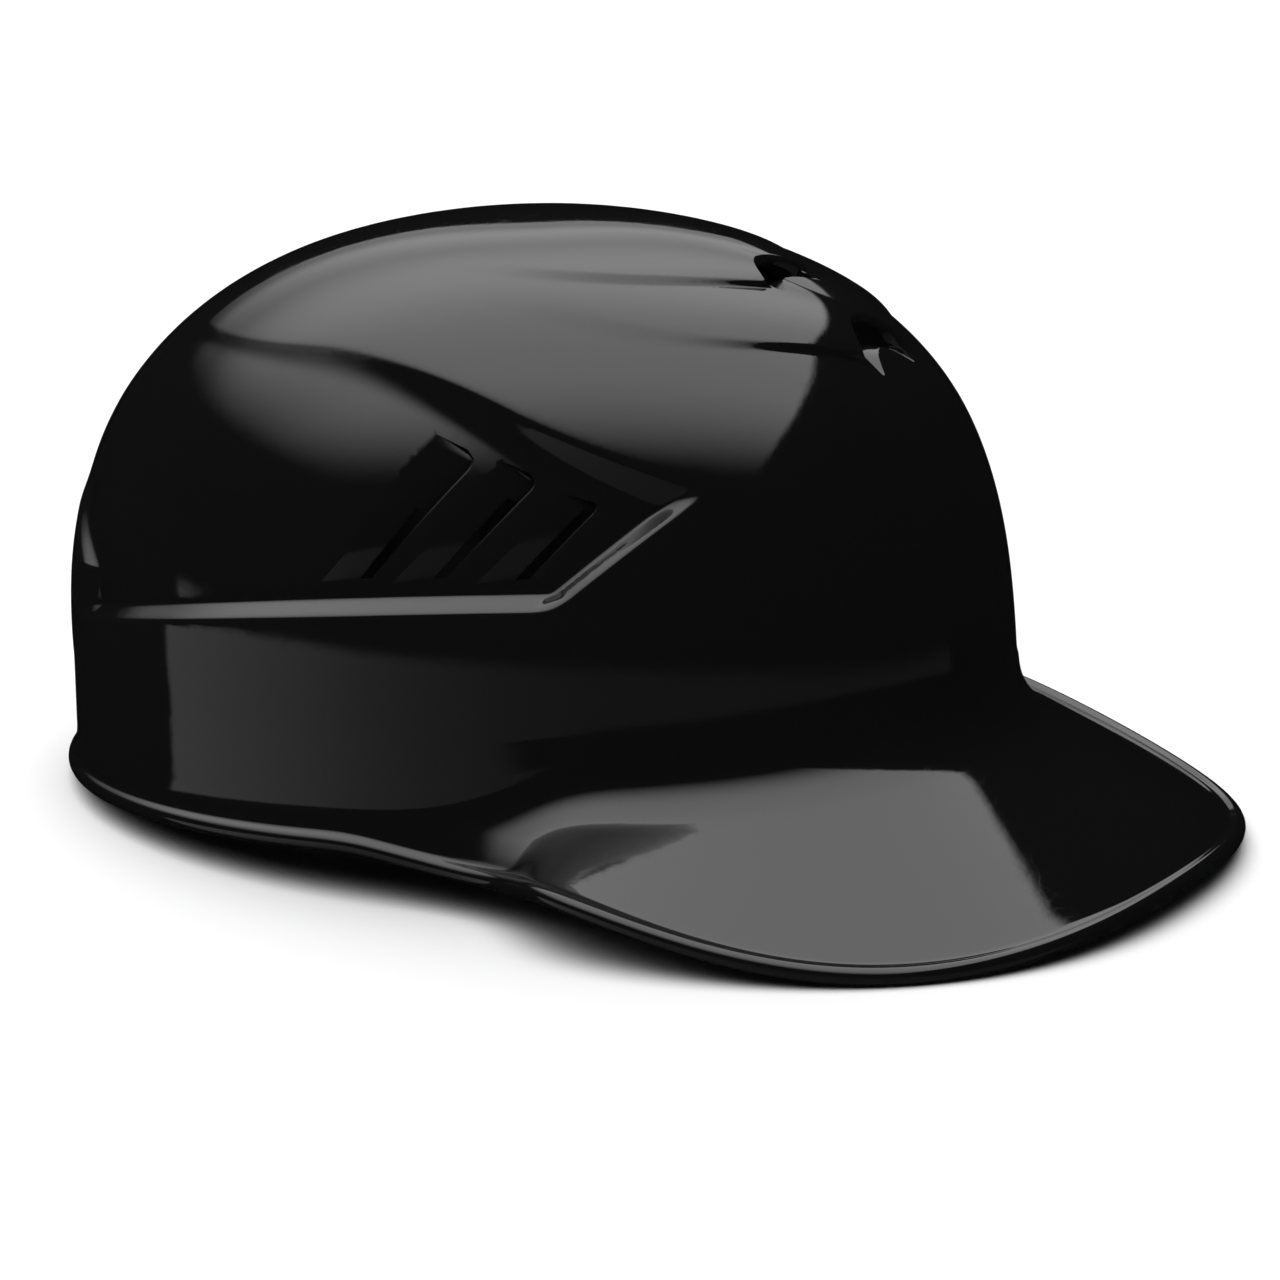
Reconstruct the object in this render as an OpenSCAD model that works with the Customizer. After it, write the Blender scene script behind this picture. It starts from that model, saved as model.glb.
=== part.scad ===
// Skull-cap batting helmet: a moulded shell with an integral brim, impact foam
// bonded inside it, and fabric comfort pads held on by hook discs. Millimetres.
// The helmet stands on its nape and on the two low points of its brim. +X is the
// wearer's front, +Y the wearer's left, +Z up, and the origin is on the ground
// under the middle of the helmet.

/* [Dome] */
// Outer length of the dome, front to back
dome_l = 250; // [244:1:256]
// Outer width of the dome at its middle
dome_w = 182; // [178:1:188]
// Height of the dome above the rim plane
dome_h = 134; // [130:1:138]
// Height of the upright wall that the dome springs from
wall_h = 28; // [26:1:30]
// Wall thickness of the moulded shell
wall = 3; // [2.5:0.25:3.5]

/* [Brim and rim] */
// How far the brim stands out in front of the dome
brim_reach = 49; // [44:1:54]
// Half width of the brim where it leaves the sides
brim_half = 108.5; // [106:0.5:111]
// How far the brim's front edge hangs below the rim plane
brim_drop = 19.3; // [16:0.1:22]
// Extra droop of the brim's two side points
brim_droop = 12; // [9:0.1:14]
// Width of the rolled bead along the rim
bead_w = 6; // [5:0.5:8]
// How far the bead stands proud of the shell
bead_h = 1.6; // [1:0.1:2.5]

/* [Vents] */
// Depth of the recessed side panels
panel_depth = 4; // [2:0.5:5]
// Width of a side louvre's slot
slot_w = 3.4; // [2.5:0.1:4]
// Height of the two hoods over the crown vents
hood_h = 4; // [3:0.5:5]
// Width of the opening under a hood
mouth_w = 6; // [4.5:0.5:7]

/* [Padding] */
// Thickness of the impact foam at the brow and nape
foam_t = 16; // [13:1:17]
// Thickness of the impact foam at the sides
foam_side_t = 7; // [6:1:8]
// Thickness of the comfort pads
pad_t = 5; // [4:0.5:6]
// Diameter of a hook disc
disc_d = 18; // [14:1:20]

/* [Hidden] */
plan_n = 1.92;             // roundness of the dome seen from above
egg = 0.116;               // how much the dome narrows to the front
rise_back = 2.29;          // roundness of the dome's profile at the back
rise_front = 2.74;         // and at the front
spread = 0.017;            // how far the upright wall spreads towards the rim
brim_n = 2.27;             // roundness of the brim's outline
brim_x = 57.6;             // where the brim's outline is widest
brim_span = 61.6;          // angle at which the brim's outline is widest
run_out = 28;              // angle over which the brim then runs into the sides
run_out_pow = 3.5;         // how soon it does so
run_out_sag = 0.45;        // how far its edge hangs there, as a share of what it gives up
root_front = 17;           // height of the brim's root at the brow
root_rear = 10;            // height at which the rim's bead zone starts at the nape
flare = 1.2;               // outward flare of the rim at the nape
root_blend = 12;           // length of the fillet between wall and brim
pitch = 4.5;               // nose-up angle of the helmet as it stands
crease = 7;                // width over which the side panels step in
hood_len = 86;             // length of a hood
hood_tip = 9;              // half width of a hood at its mouth
hood_edge = 8;             // width over which a hood's side falls away
hood_rake = 7;             // how far the middle of a hood's lip lies behind its corners
bond = 0.2;                // clearance between the shell and the foam
disc_t = 0.8;              // thickness of a hook disc
disc_gap = 1.6;            // space between foam and comfort pad, for the discs
EPS = 0.001;

half_l = dome_l / 2;
half_w = dome_w / 2;
rise = dome_h - wall_h;

function spow(v, e) = sign(v) * pow(abs(v), e);
function ease(t) = let (u = max(0, min(1, t))) u * u * (3 - 2 * u);
function unit(v) = v / norm(v);
function mix(a, b, t) = a + (b - a) * t;

// The dome: th turns about Z from the front, v is the angle above the wall's top,
// or minus the height below it, and grow offsets the surface outwards.
function plan(th, grow) =
    let (c = spow(cos(th), 2 / plan_n))
    [(half_l + grow) * c, (half_w + grow) * spow(sin(th), 2 / plan_n) * (1 - egg * c)];
function skin(th, v, grow) =
    let (q = plan(th, grow), e = 2 / mix(rise_back, rise_front, (1 + cos(th)) / 2))
    v < 0
    ? let (s = 1 + spread * pow(v / wall_h, 2)) [q.x * s, q.y * s, wall_h + v]
    : let (r = pow(abs(cos(v)), e)) [q.x * r, q.y * r, wall_h + (rise + grow) * pow(sin(v), e)];
function skin_normal(th, v) =
    let (d = 0.5, h = max(v, d))
    unit(cross(skin(th + d, h, 0) - skin(th - d, h, 0),
               skin(th, h + d, 0) - skin(th, h - d, 0)));

// Each side panel is a hollow between an upper crease that falls to the front, a
// ledge below it, a sloping front ledge and a short crease at the back.
function panel_top(x) = x < 40 ? 112.5 - 0.0042 * pow(max(x + 20, 0), 2) : 97.4 - 0.45 * (x - 40);
function panel_low(x) = 59.3 - 0.00083 * pow(x - 40, 2);
function panel_front(z) = 51 + 1.2 * (z - 59);
function panel_back(z) = -88 - 1.2 * max(z - 56, 0);
function panel_sink(x, y, z) =
    panel_depth
    * ease((z - panel_low(x)) / crease + 0.5)
    * ease((panel_top(x) - z) / crease + 0.5)
    * ease((panel_front(z) - x) / crease + 0.5)
    * ease((x - panel_back(z)) / crease + 0.5)
    * ease((x + 125 + (115 - z) * 0.6) / 110)
    * ease((abs(y) - 30) / 12);

// A hood: a tongue on the crown that rises from nothing at its back to its mouth,
// which is raked back in the middle. The crown sinks around it and comes up again
// in front of it, so that the hood's own top follows the dome. nose is where its
// mouth lies and wide its half width at the back.
hoods = [[76, 38], [101, 47]];
hood_shoulder = 18;
function hood_step(x, y, nose, wide) =
    let (u = (x - nose) / hood_len + 1,
         w = hood_tip + (wide - hood_tip) * (1 - pow(max(u, 0), 3)),
         lip = nose - hood_rake * max(1 - pow(y / hood_tip, 2), 0))
    u <= 0 ? 0
           : hood_h * ease(u)
             * (ease((w - abs(y)) / hood_edge + 0.5) * ease((lip - x) / 5 + 0.5)
                - ease((w + hood_shoulder - abs(y)) / 30) * ease((nose - x) / 26 + 1));
function crown_step(p) =
    p.z < wall_h + 20
    ? 0
    : hood_step(p.x, p.y, hoods[0][0], hoods[0][1])
      + hood_step(p.x, p.y, hoods[1][0], hoods[1][1]);

function dome_point(th, v, grow) =
    let (p = skin(th, v, grow))
    v < 0 ? p
          : p + skin_normal(th, v) * (crown_step(p) - panel_sink(p.x, p.y, p.z));

// The rim: each section runs down the wall, through a fillet, out along the brim,
// round the bead and back up the inside. Behind the brim it is almost upright.
function root(th) =
    let (z = mix(root_rear, root_front, pow(1 - ease(abs(th) / 90), 0.8)))
    skin(th, z - wall_h, 0);
function edge_line(th) =
    let (t = abs(th) / brim_span, ph = min(t, 1) * 90, q = plan(th, 0),
         stand = brim_half - plan(brim_span, 0).y,
         left = max(1 - (abs(th) - brim_span) / run_out, 0),
         f = pow(left, run_out_pow),
         sag = run_out_sag * stand * (pow(left, 1.15) - f),
         n = unit([q.x / pow(half_l, 2), q.y / pow(half_w, 2)]) * (flare + spread * half_w))
    t < 1
    ? [brim_x + (half_l + brim_reach - brim_x) * spow(cos(ph), 2 / brim_n),
       sign(th) * brim_half * spow(sin(ph), 2 / brim_n),
       -brim_drop * (1 - t) - brim_droop * sin(180 * pow(t, 1.25))]
    : [q.x + n.x * (1 - f), q.y + sign(th) * stand * f + n.y * (1 - f), -sag];
function edge(th) = (edge_line(th - 5) + 2 * edge_line(th) + edge_line(th + 5)) / 4;
function section(th) =
    let (r = root(th), e = edge(th), d = unit(e - r),
         w = unit([r.x / pow(half_l, 2), r.y / pow(half_w, 2), 0]),
         side = unit([d.x, d.y, 0] + 0.02 * w),
         n = unit([-side.x * d.z, -side.y * d.z, norm([d.x, d.y])]),
         f = root_blend * sqrt(1 - d.z * d.z),
         a = r + [0, 0, f], c = r + d * f,
         top = skin(th, 0, 0), far = e - d * bead_w,
         bend = [for (k = [0, 1/3, 2/3, 1])
                     (1 - k) * (1 - k) * a + 2 * k * (1 - k) * r + k * k * c])
    concat(
        [mix(top, a, 0.4)],
        bend,
        [for (k = [0.4, 0.75]) mix(c, far, k)],
        [far, far + d * 1.5 + n * bead_h, e - d * 2 + n * bead_h,
         e - d * 0.5 + n * (bead_h * 0.4), e + n * ((bead_h - wall) / 2),
         e - d * 0.6 - n * (wall - 0.6), e - d * 2 - n * wall],
        [for (k = [0.75, 0.4]) mix(c, far, k) - n * wall],
        [for (i = [3, 2, 1, 0]) bend[i] - wall * unit(mix(w, n, i / 3))],
        [mix(top, a, 0.4) - wall * w]);

// The shell's columns, closer together along the sides, and its rows
side_step = 4;
side_columns = [for (t = [34:side_step:146]) t];
columns = concat([for (i = [0:4]) -180 + i * 7.2],
                 [for (i = [len(side_columns) - 1:-1:0]) -side_columns[i]],
                 [for (t = [-28:7:28]) t], side_columns,
                 [for (i = [4:-1:1]) 180 - i * 7.2]);
rows_up = [88, 80, 73, 67, 62, 57, 52, 48, 44, 40, 36, 32.5, 29, 25.5, 22, 19, 16, 13.5, 11,
           8.5, 6, 3, 0];
rows_down = [for (i = [len(rows_up) - 1:-1:0]) rows_up[i]];

shell_grid = [for (th = columns) concat([for (v = rows_up) dome_point(th, v, 0)], section(th),
                                        [for (v = rows_down) dome_point(th, v, -wall)])];

// Standing position: turned nose-up, then set down on z = 0 over the origin
function turned(p) = [p.x * cos(pitch) - p.z * sin(pitch), p.y,
                      p.x * sin(pitch) + p.z * cos(pitch)];
shell_turned = [for (c = shell_grid) for (p = c) turned(p)];
ground = min([for (p = shell_turned) p.z]);
middle = (min([for (p = shell_turned) p.x]) + max([for (p = shell_turned) p.x])) / 2;

module standing() {
    translate([-middle, 0, -ground]) rotate([0, -pitch, 0]) children();
}

module shell_skin() {
    n = len(shell_grid[0]);
    m = len(columns);
    crown = [0, 0, dome_h] + [0, 0, crown_step([0, 0, dome_h])];
    polyhedron(
        concat([for (c = shell_grid) for (p = c) p], [crown, crown - [0, 0, wall]]),
        concat(
            [for (j = [0:m - 1]) for (i = [0:n - 2]) each
                let (a = j * n + i, b = ((j + 1) % m) * n + i)
                [[a, b, b + 1], [a, b + 1, a + 1]]],
            [for (j = [0:m - 1]) [m * n, ((j + 1) % m) * n, j * n]],
            [for (j = [0:m - 1]) [m * n + 1, j * n + n - 1, ((j + 1) % m) * n + n - 1]]),
        convexity = 12);
}

// Puts children on the dome at (th, v), their Z along its normal
module on_skin(th, v, grow) {
    n = skin_normal(th, v);
    translate(dome_point(th, v, grow)) rotate([0, acos(n.z), atan2(n.y, n.x)]) children();
}

// A slot through the wall, from one place on the dome to another
module slot(a, b, w) {
    hull() {
        on_skin(a.x, a.y, 0) cylinder(h = 20, d = w, center = true, $fn = 12);
        on_skin(b.x, b.y, 0) cylinder(h = 20, d = w, center = true, $fn = 12);
    }
}

// Ends of the slots, as places on the right-hand half of the dome
louvres = [[[86.5, 15.5], [73.5, 30]], [[77, 15.5], [66, 26.5]], [[67.5, 15], [59, 23]]];
mouths = [[8, 60.5], [5.5, 44]];

module shell() {
    color([0.07, 0.07, 0.075]) standing() difference() {
        shell_skin();
        for (s = [-1, 1], l = louvres)
            slot([s * l[0].x, l[0].y], [s * l[1].x, l[1].y], slot_w);
        for (m = mouths)
            slot(m, [-m.x, m.y], mouth_w);
    }
}

// Padding: every pad is a curved block in the dome's own (th, v) directions. Its
// middle, half spans and outer offset are given, and its corners are rounded off.
function foam_depth(th) = mix(foam_side_t, foam_t, pow(cos(th), 2));
function pad_point(at, span, x, y, grow) =
    dome_point(at.x + span.x * x * (1 - 0.1 * pow(y, 4)),
               at.y + span.y * y * (1 - 0.12 * pow(x, 4)), grow);

module curved_pad(at, span, nx, ny, gap, depth) {
    outer = [for (i = [0:nx]) for (j = [0:ny])
        pad_point(at, span, 2 * i / nx - 1, 2 * j / ny - 1,
                  -wall - bond - gap[0] - gap[1] * foam_depth(at.x + span.x * (2 * i / nx - 1)))];
    inner = [for (i = [0:nx]) for (j = [0:ny])
        let (x = 2 * i / nx - 1, y = 2 * j / ny - 1, foam = foam_depth(at.x + span.x * x),
             full = depth[0] + depth[1] * foam,
             here = max(abs(x), abs(y)) > 1 - EPS ? 0.7 * full : full)
        pad_point(at, span, x, y, -wall - bond - gap[0] - gap[1] * foam - here)];
    m = ny + 1;
    n = (nx + 1) * m;
    rim = concat([for (i = [0:nx - 1]) i * m], [for (j = [0:ny - 1]) nx * m + j],
                 [for (i = [nx:-1:1]) i * m + ny], [for (j = [ny:-1:1]) j]);
    polyhedron(
        concat(outer, inner),
        concat(
            [for (i = [0:nx - 1]) for (j = [0:ny - 1]) each
                let (a = i * m + j) [[a, a + 1, a + m + 1], [a, a + m + 1, a + m]]],
            [for (i = [0:nx - 1]) for (j = [0:ny - 1]) each
                let (a = n + i * m + j) [[a, a + m + 1, a + 1], [a, a + m, a + m + 1]]],
            [for (k = [0:len(rim) - 1]) each
                let (a = rim[k], b = rim[(k + 1) % len(rim)])
                [[a, b, b + n], [a, b + n, a + n]]]),
        convexity = 6);
}

// Middle and half spans of each pad place
front_at = [0, 5];
front_span = [38, 17];
side_at = [86, -2];
side_span = [38, 12];
rear_at = [180, 4];
rear_span = [44, 18];
upper_at = [92, 47];
upper_span = [30, 9];
upper_rear_at = [180, 46];
upper_rear_span = [34, 10];
// The fabric pads stop a little inside the foam
inset = [1.5, 0.8];

module foam_block(at, span, nx, ny) {
    color([0.22, 0.22, 0.24]) standing() curved_pad(at, span, nx, ny, [0, 0], [0, 1]);
}
module fabric_block(at, span, nx, ny) {
    color([0.12, 0.12, 0.13]) standing()
        curved_pad(at, span - inset, nx, ny, [disc_gap, 1], [pad_t, 0]);
}

module foam_front() { foam_block(front_at, front_span, 14, 6); }
module foam_right() { foam_block([-side_at.x, side_at.y], side_span, 14, 5); }
module foam_left() { foam_block(side_at, side_span, 14, 5); }
module foam_rear() { foam_block(rear_at, rear_span, 14, 6); }
module foam_upper_right() { foam_block([-upper_at.x, upper_at.y], upper_span, 8, 4); }
module foam_upper_left() { foam_block(upper_at, upper_span, 8, 4); }
module foam_upper_rear() { foam_block(upper_rear_at, upper_rear_span, 8, 4); }

module pad_front() { fabric_block(front_at, front_span, 14, 6); }
module pad_right() { fabric_block([-side_at.x, side_at.y], side_span, 14, 5); }
module pad_left() { fabric_block(side_at, side_span, 14, 5); }
module pad_rear() { fabric_block(rear_at, rear_span, 14, 6); }
module pad_upper_right() { fabric_block([-upper_at.x, upper_at.y], upper_span, 8, 4); }
module pad_upper_left() { fabric_block(upper_at, upper_span, 8, 4); }
module pad_upper_rear() { fabric_block(upper_rear_at, upper_rear_span, 8, 4); }

// The crown has a round block of its own, domed to the shell
crown_v = 72;
crown_foam_t = 11;
module crown_block(v0, gap, depth) {
    turns = [for (t = [0:15:345]) t];
    steps = [v0, v0 + (90 - v0) * 0.3, v0 + (90 - v0) * 0.65];
    m = len(turns);
    function layer(grow, edge_grow) = [for (k = [0:2]) for (t = turns)
        dome_point(t, steps[k], k == 0 ? edge_grow : grow)];
    function cap(grow) = [0, 0, dome_h + grow + crown_step([0, 0, dome_h])];
    g = -wall - bond - gap;
    points = concat(layer(g, g), [cap(g)], layer(g - depth, g - depth * 0.7), [cap(g - depth)]);
    n = 3 * m + 1;
    polyhedron(points, concat(
        [for (k = [0, 1]) for (i = [0:m - 1]) each
            let (a = k * m + i, b = k * m + (i + 1) % m)
            [[a, a + m, b + m], [a, b + m, b]]],
        [for (i = [0:m - 1]) [2 * m + i, 3 * m, 2 * m + (i + 1) % m]],
        [for (k = [0, 1]) for (i = [0:m - 1]) each
            let (a = n + k * m + i, b = n + k * m + (i + 1) % m)
            [[a, b + m, a + m], [a, b, b + m]]],
        [for (i = [0:m - 1]) [n + 2 * m + i, n + 2 * m + (i + 1) % m, n + 3 * m]],
        [for (i = [0:m - 1]) each let (a = i, b = (i + 1) % m) [[a, b, b + n], [a, b + n, a + n]]]),
        convexity = 4);
}
module foam_crown() {
    color([0.22, 0.22, 0.24]) standing() crown_block(crown_v, 0, crown_foam_t);
}
module pad_crown() {
    color([0.12, 0.12, 0.13]) standing() crown_block(crown_v + 1.2, crown_foam_t + disc_gap, pad_t);
}

// Hook discs lie in the gap between the foam and the fabric pads
module disc(th, v) {
    color([0.05, 0.05, 0.05]) standing()
        on_skin(th, v, -wall - bond - foam_depth(th) - disc_gap / 2)
            cylinder(h = disc_t, d = disc_d, center = true, $fn = 40);
}
disc_off = 22;
module disc_front_right() { disc(-disc_off, 4); }
module disc_front_left() { disc(disc_off, 4); }
module disc_side_right_front() { disc(-side_at.x + disc_off, -3); }
module disc_side_right_rear() { disc(-side_at.x - disc_off, -3); }
module disc_side_left_front() { disc(side_at.x - disc_off, -3); }
module disc_side_left_rear() { disc(side_at.x + disc_off, -3); }
module disc_rear_right() { disc(180 + disc_off, 4); }
module disc_rear_left() { disc(180 - disc_off, 4); }
module disc_upper_right() { disc(-upper_at.x, upper_at.y); }
module disc_upper_left() { disc(upper_at.x, upper_at.y); }
module disc_upper_rear() { disc(180, upper_rear_at.y); }
module disc_crown() {
    color([0.05, 0.05, 0.05]) standing()
        translate([0, 0, dome_h + crown_step([0, 0, dome_h]) - wall - bond - crown_foam_t - disc_gap / 2])
            cylinder(h = disc_t, d = disc_d, center = true, $fn = 40);
}

shell();
foam_front();
foam_right();
foam_left();
foam_rear();
foam_upper_right();
foam_upper_left();
foam_upper_rear();
foam_crown();
pad_front();
pad_right();
pad_left();
pad_rear();
pad_upper_right();
pad_upper_left();
pad_upper_rear();
pad_crown();
disc_front_right();
disc_front_left();
disc_side_right_front();
disc_side_right_rear();
disc_side_left_front();
disc_side_left_rear();
disc_rear_right();
disc_rear_left();
disc_upper_right();
disc_upper_left();
disc_upper_rear();
disc_crown();
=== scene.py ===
"""Looks of the skull-cap batting helmet: a gloss black moulded shell with recessed
side panels, louvred slots, two crown hoods and a rolled rim, and inside it the foam
blocks, hook discs and fabric comfort pads. Sizes are in millimetres in the helmet's own
directions (x front, y left, z up from the rim plane) until to_world() turns and places
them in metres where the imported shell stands.
"""
import math

import bmesh
import bpy
import numpy as np
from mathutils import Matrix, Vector


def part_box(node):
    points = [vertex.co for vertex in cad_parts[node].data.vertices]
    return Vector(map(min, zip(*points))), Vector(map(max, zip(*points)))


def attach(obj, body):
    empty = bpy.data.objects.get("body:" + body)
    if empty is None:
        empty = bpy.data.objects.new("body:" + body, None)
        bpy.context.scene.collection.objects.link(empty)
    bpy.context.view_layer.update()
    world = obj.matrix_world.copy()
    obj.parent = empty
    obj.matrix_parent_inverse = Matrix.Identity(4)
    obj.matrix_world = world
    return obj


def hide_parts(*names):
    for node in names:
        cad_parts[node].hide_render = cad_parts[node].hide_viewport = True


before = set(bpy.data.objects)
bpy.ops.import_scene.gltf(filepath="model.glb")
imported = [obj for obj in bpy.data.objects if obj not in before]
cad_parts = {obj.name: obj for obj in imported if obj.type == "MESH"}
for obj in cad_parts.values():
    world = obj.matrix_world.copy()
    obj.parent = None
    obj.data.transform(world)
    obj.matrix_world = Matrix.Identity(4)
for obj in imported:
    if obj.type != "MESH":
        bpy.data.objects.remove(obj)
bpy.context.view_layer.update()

# --- helmet geometry ---------------------------------------------------------------

# Driving sizes of the dome, the brim and the rim
HALF_L, HALF_W, DOME_H, WALL_H, WALL = 125.0, 91.0, 134.0, 28.0, 3.0
BRIM_REACH, BRIM_HALF, BRIM_DROP, BRIM_DROOP = 49.0, 108.5, 19.3, 12.0
BEAD_R, BEAD_W = 2.3, 6.0
RISE = DOME_H - WALL_H
PLAN_N, EGG, RISE_BACK, RISE_FRONT, SPREAD = 1.92, 0.116, 2.29, 2.74, 0.017
BRIM_N, BRIM_X, BRIM_SPAN, RUN_OUT = 2.27, 57.6, 61.6, 28.0
RUN_OUT_POWER, RUN_OUT_SAG = 3.5, 0.45
ROOT_FRONT, ROOT_REAR, FLARE, ROOT_BLEND = 17.0, 10.0, 1.2, 12.0
PITCH = 4.5

# Depths and widths of the side panels' creases
PANEL_DEPTH = 4.0
TOP_WIDTH, TOP_WIDTH_REAR, LOW_WIDTH, FRONT_WIDTH, REAR_WIDTH = 9.0, 3.0, 3.4, 5.0, 9.0

# The two crown hoods: how far forward each mouth lies, and its half width at the back
HOODS = ((76.0, 38.0), (101.0, 47.0))
HOOD_H, HOOD_LEN, HOOD_TIP, HOOD_RAKE, HOOD_SHOULDER = 2.6, 86.0, 9.5, 7.0, 30.0
# What a hood's height is at its sides, as a share of its height in the middle
HOOD_SIDE = 0.5


def spow(a, e):
    return np.sign(a) * np.abs(a) ** e


def ease(t):
    u = np.clip(t, 0, 1)
    return u * u * (3 - 2 * u)


def ramp(t, r):
    """A clamp of t to 0..1 whose two corners are rounded by r."""
    return 0.5 * (np.sqrt(t * t + r * r) - np.sqrt((t - 1) ** 2 + r * r) + 1)


def mix(a, b, t):
    return a + (b - a) * t


def unit(a):
    return a / (np.linalg.norm(a, axis=-1, keepdims=True) + 1e-12)


def cosd(a):
    return np.cos(np.radians(a))


def sind(a):
    return np.sin(np.radians(a))


def plan(th, grow=0.0):
    c = spow(cosd(th), 2 / PLAN_N)
    return ((HALF_L + grow) * c,
            (HALF_W + grow) * spow(sind(th), 2 / PLAN_N) * (1 - EGG * c))


def skin(th, v, grow=0.0):
    """Points of the plain dome: th turns about Z from the front, v is the angle above
    the wall's top or minus the height below it, and grow offsets it outwards."""
    th, v = np.broadcast_arrays(np.asarray(th, float), np.asarray(v, float))
    x, y = plan(th, grow)
    e = 2 / mix(RISE_BACK, RISE_FRONT, (1 + cosd(th)) / 2)
    up = np.clip(v, 0, 90)
    r = np.where(v < 0, 1 + SPREAD * (v / WALL_H) ** 2, np.abs(cosd(up)) ** e)
    z = WALL_H + np.where(v < 0, v, (RISE + grow) * np.abs(sind(up)) ** e)
    return np.stack([x * r, y * r, z], -1)


def skin_normal(th, v):
    d, h = 0.5, np.maximum(v, 0.5)
    return unit(np.cross(skin(th + d, h) - skin(th - d, h),
                         skin(th, h + d) - skin(th, h - d)))


def panel_top(x):
    return np.where(x < 40, 112.5 - 0.0042 * np.maximum(x + 20, 0) ** 2,
                    97.4 - 0.45 * (x - 40))


def panel_low(x):
    return 59.3 - 0.00083 * (x - 40) ** 2


def panel_sink(p):
    """How deep the side panels lie under the plain dome at points p."""
    x, y, z = p[..., 0], np.abs(p[..., 1]), p[..., 2]
    ahead = ease((x + 60) / 110)
    below_top = ramp((panel_top(x) - z) / mix(TOP_WIDTH_REAR, TOP_WIDTH, ahead) + 0.35, 0.1)
    top = 1 - (1 - below_top) ** 2
    low = ramp((z - panel_low(x)) / LOW_WIDTH + 0.5, 0.12)
    front = ramp((51 + 1.2 * (z - 59) - x) / FRONT_WIDTH + 0.5, 0.15)
    back = ease((x + 91 + 1.2 * np.maximum(z - 56, 0)) / REAR_WIDTH + 0.5)
    fade = ease((x + 125 + (115 - z) * 0.8) / 80) * ease((y - 30) / 12)
    share = np.clip((z - panel_low(x)) / np.maximum(panel_top(x) - panel_low(x), 1), 0, 1)
    depth = PANEL_DEPTH * mix(1, mix(0.15, 1, ahead), share ** 1.2)
    return depth * top * low * front * back * fade


def hood_step(x, y, nose, wide):
    """Height of one crown hood over the plain dome: a tongue that rises from nothing
    at its back to its raked mouth, with the crown sunk around it."""
    u = np.clip((x - nose) / HOOD_LEN + 1, 0, None)
    w = HOOD_TIP + (wide - HOOD_TIP) * (1 - u ** 3)
    lip = nose - HOOD_RAKE * np.maximum(1 - (y / HOOD_TIP) ** 2, 0)
    edge = mix(6.0, 1.8, np.clip(u, 0, 1) ** 1.5)
    arch = mix(HOOD_SIDE, 1, 1 - np.clip(np.abs(y) / w, 0, 1) ** 2)
    tongue = arch * ease((w - np.abs(y)) / edge + 0.5) * ease((lip - x) / 3 + 0.5)
    trough = ease((w + HOOD_SHOULDER - np.abs(y)) / 55) * ease((nose - x) / 26 + 1)
    return np.where(u > 0, HOOD_H * ease(u) * (tongue - trough), 0)


def relief(p):
    crown = sum(hood_step(p[..., 0], p[..., 1], nose, wide) for nose, wide in HOODS)
    return np.where(p[..., 2] < WALL_H + 20, 0, crown) - panel_sink(p)


def dome_point(th, v, grow=0.0):
    th, v = np.broadcast_arrays(np.asarray(th, float), np.asarray(v, float))
    p = skin(th, v, grow)
    return p + skin_normal(th, v) * (np.where(v < 0, 0, relief(p)))[..., None]


def edge_line(th):
    """The rim's outer line: the brim in front and, behind it, the foot of the wall."""
    a = np.abs(th)
    t = a / BRIM_SPAN
    ph = np.minimum(t, 1) * 90
    x, y = plan(th)
    stand = BRIM_HALF - plan(BRIM_SPAN)[1]
    left = np.where(t < 1, 1, np.maximum(1 - (a - BRIM_SPAN) / RUN_OUT, 0))
    f = left ** RUN_OUT_POWER
    sag = RUN_OUT_SAG * stand * (left ** 1.15 - f)
    n = unit(np.stack([x / HALF_L ** 2, y / HALF_W ** 2], -1)) * (FLARE + SPREAD * HALF_W)
    brim = np.stack([
        BRIM_X + (HALF_L + BRIM_REACH - BRIM_X) * spow(cosd(ph), 2 / BRIM_N),
        np.sign(th) * BRIM_HALF * spow(sind(ph), 2 / BRIM_N),
        -BRIM_DROP * (1 - np.minimum(t, 1))
        - BRIM_DROOP * sind(180 * np.minimum(t, 1) ** 1.25)], -1)
    side = np.stack([x + n[..., 0] * (1 - f),
                     y + np.sign(th) * stand * f + n[..., 1] * (1 - f), -sag], -1)
    return np.where((t < 1)[..., None], brim, side)


def edge(th):
    """edge_line with its turns softened over a few degrees."""
    steps = np.linspace(-7, 7, 15)
    weights = np.exp(-(steps / 4) ** 2)
    return sum(w * edge_line(th + s) for w, s in zip(weights, steps)) / weights.sum()


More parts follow.
